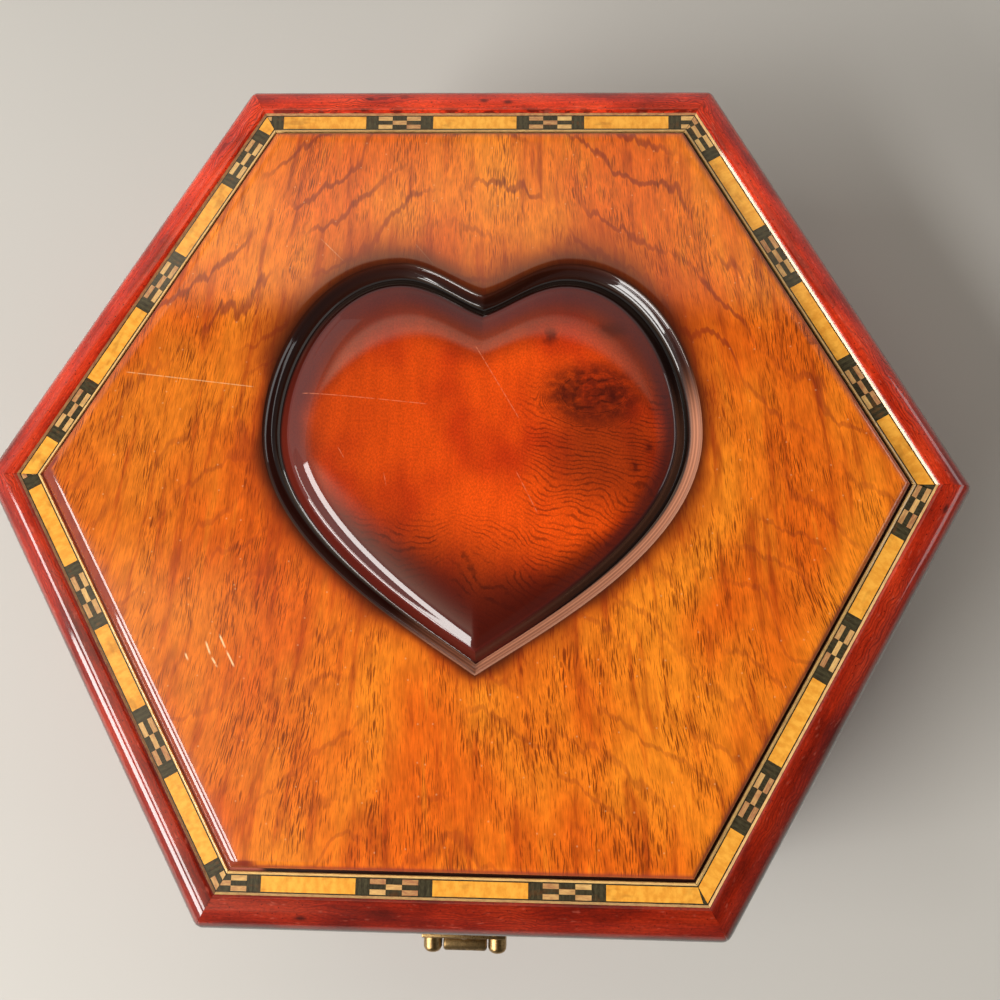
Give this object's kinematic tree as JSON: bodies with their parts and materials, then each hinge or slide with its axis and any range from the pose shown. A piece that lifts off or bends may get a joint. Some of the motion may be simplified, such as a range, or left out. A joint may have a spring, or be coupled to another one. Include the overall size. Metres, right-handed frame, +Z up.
{
  "type": "musical jewelry box",
  "caption": "Six-sided veneered wooden jewelry box with a hinged lid, inlaid banding, a raised red heart in a carved moat and a small brass catch.",
  "frame": {"origin": "centre of the six-sided underside, on the surface that the box stands on", "axes": "+Z up, +Y to the hinged back, -Y to the front with the catch, +X to the right corner"},
  "size_m": [0.2024, 0.1853, 0.0827],
  "materials": {
    "red_burl": "red-stained burl veneer under glossy lacquer, near black at the outer edges",
    "panel_veneer": "warm orange-brown veneer with short dark pores, glossy lacquer, darker round the heart",
    "inlay_band": "golden veneer lengths with dark and cream chequered blocks, lacquered",
    "heart_burl": "red burl veneer fading to black at the rim, deep gloss",
    "plain_wood": "plain stained board, satin",
    "aged_brass": "aged brass, rubbed bright on the high spots and brown in the corners"
  },
  "bodies": {
    "box": {"wall_back": "red_burl", "wall_back_left": "red_burl", "wall_front_left": "red_burl", "wall_front": "red_burl", "wall_front_right": "red_burl", "wall_back_right": "red_burl", "bottom_board": "plain_wood", "hinge_left_box_leaf": "aged_brass", "hinge_right_box_leaf": "aged_brass", "hinge_left_pin": "aged_brass", "hinge_right_pin": "aged_brass", "catch_keeper": "aged_brass"},
    "lid": {"lid_rail_back": "red_burl", "lid_rail_back_left": "red_burl", "lid_rail_front_left": "red_burl", "lid_rail_front": "red_burl", "lid_rail_front_right": "red_burl", "lid_rail_back_right": "red_burl", "lid_panel": "panel_veneer", "heart": "heart_burl", "inlay_back": "inlay_band", "inlay_back_left": "inlay_band", "inlay_front_left": "inlay_band", "inlay_front": "inlay_band", "inlay_front_right": "inlay_band", "inlay_back_right": "inlay_band", "hinge_left_lid_leaf": "aged_brass", "hinge_right_lid_leaf": "aged_brass", "catch_plate": "aged_brass", "catch_pin": "aged_brass"},
    "hasp": {"catch_hasp": "aged_brass"}
  },
  "joints": [
    {"name": "lid_hinge", "type": "hinge", "parent": "box", "child": "lid", "pos_m": [0, 0.0903, 0.05425], "axis": [-1, 0, 0], "range_deg": [0, 100]},
    {"name": "hasp_hinge", "type": "hinge", "parent": "lid", "child": "hasp", "pos_m": [0.0005, -0.0912, 0.0655], "axis": [-1, 0, 0], "range_deg": [0, 170]}
  ]
}
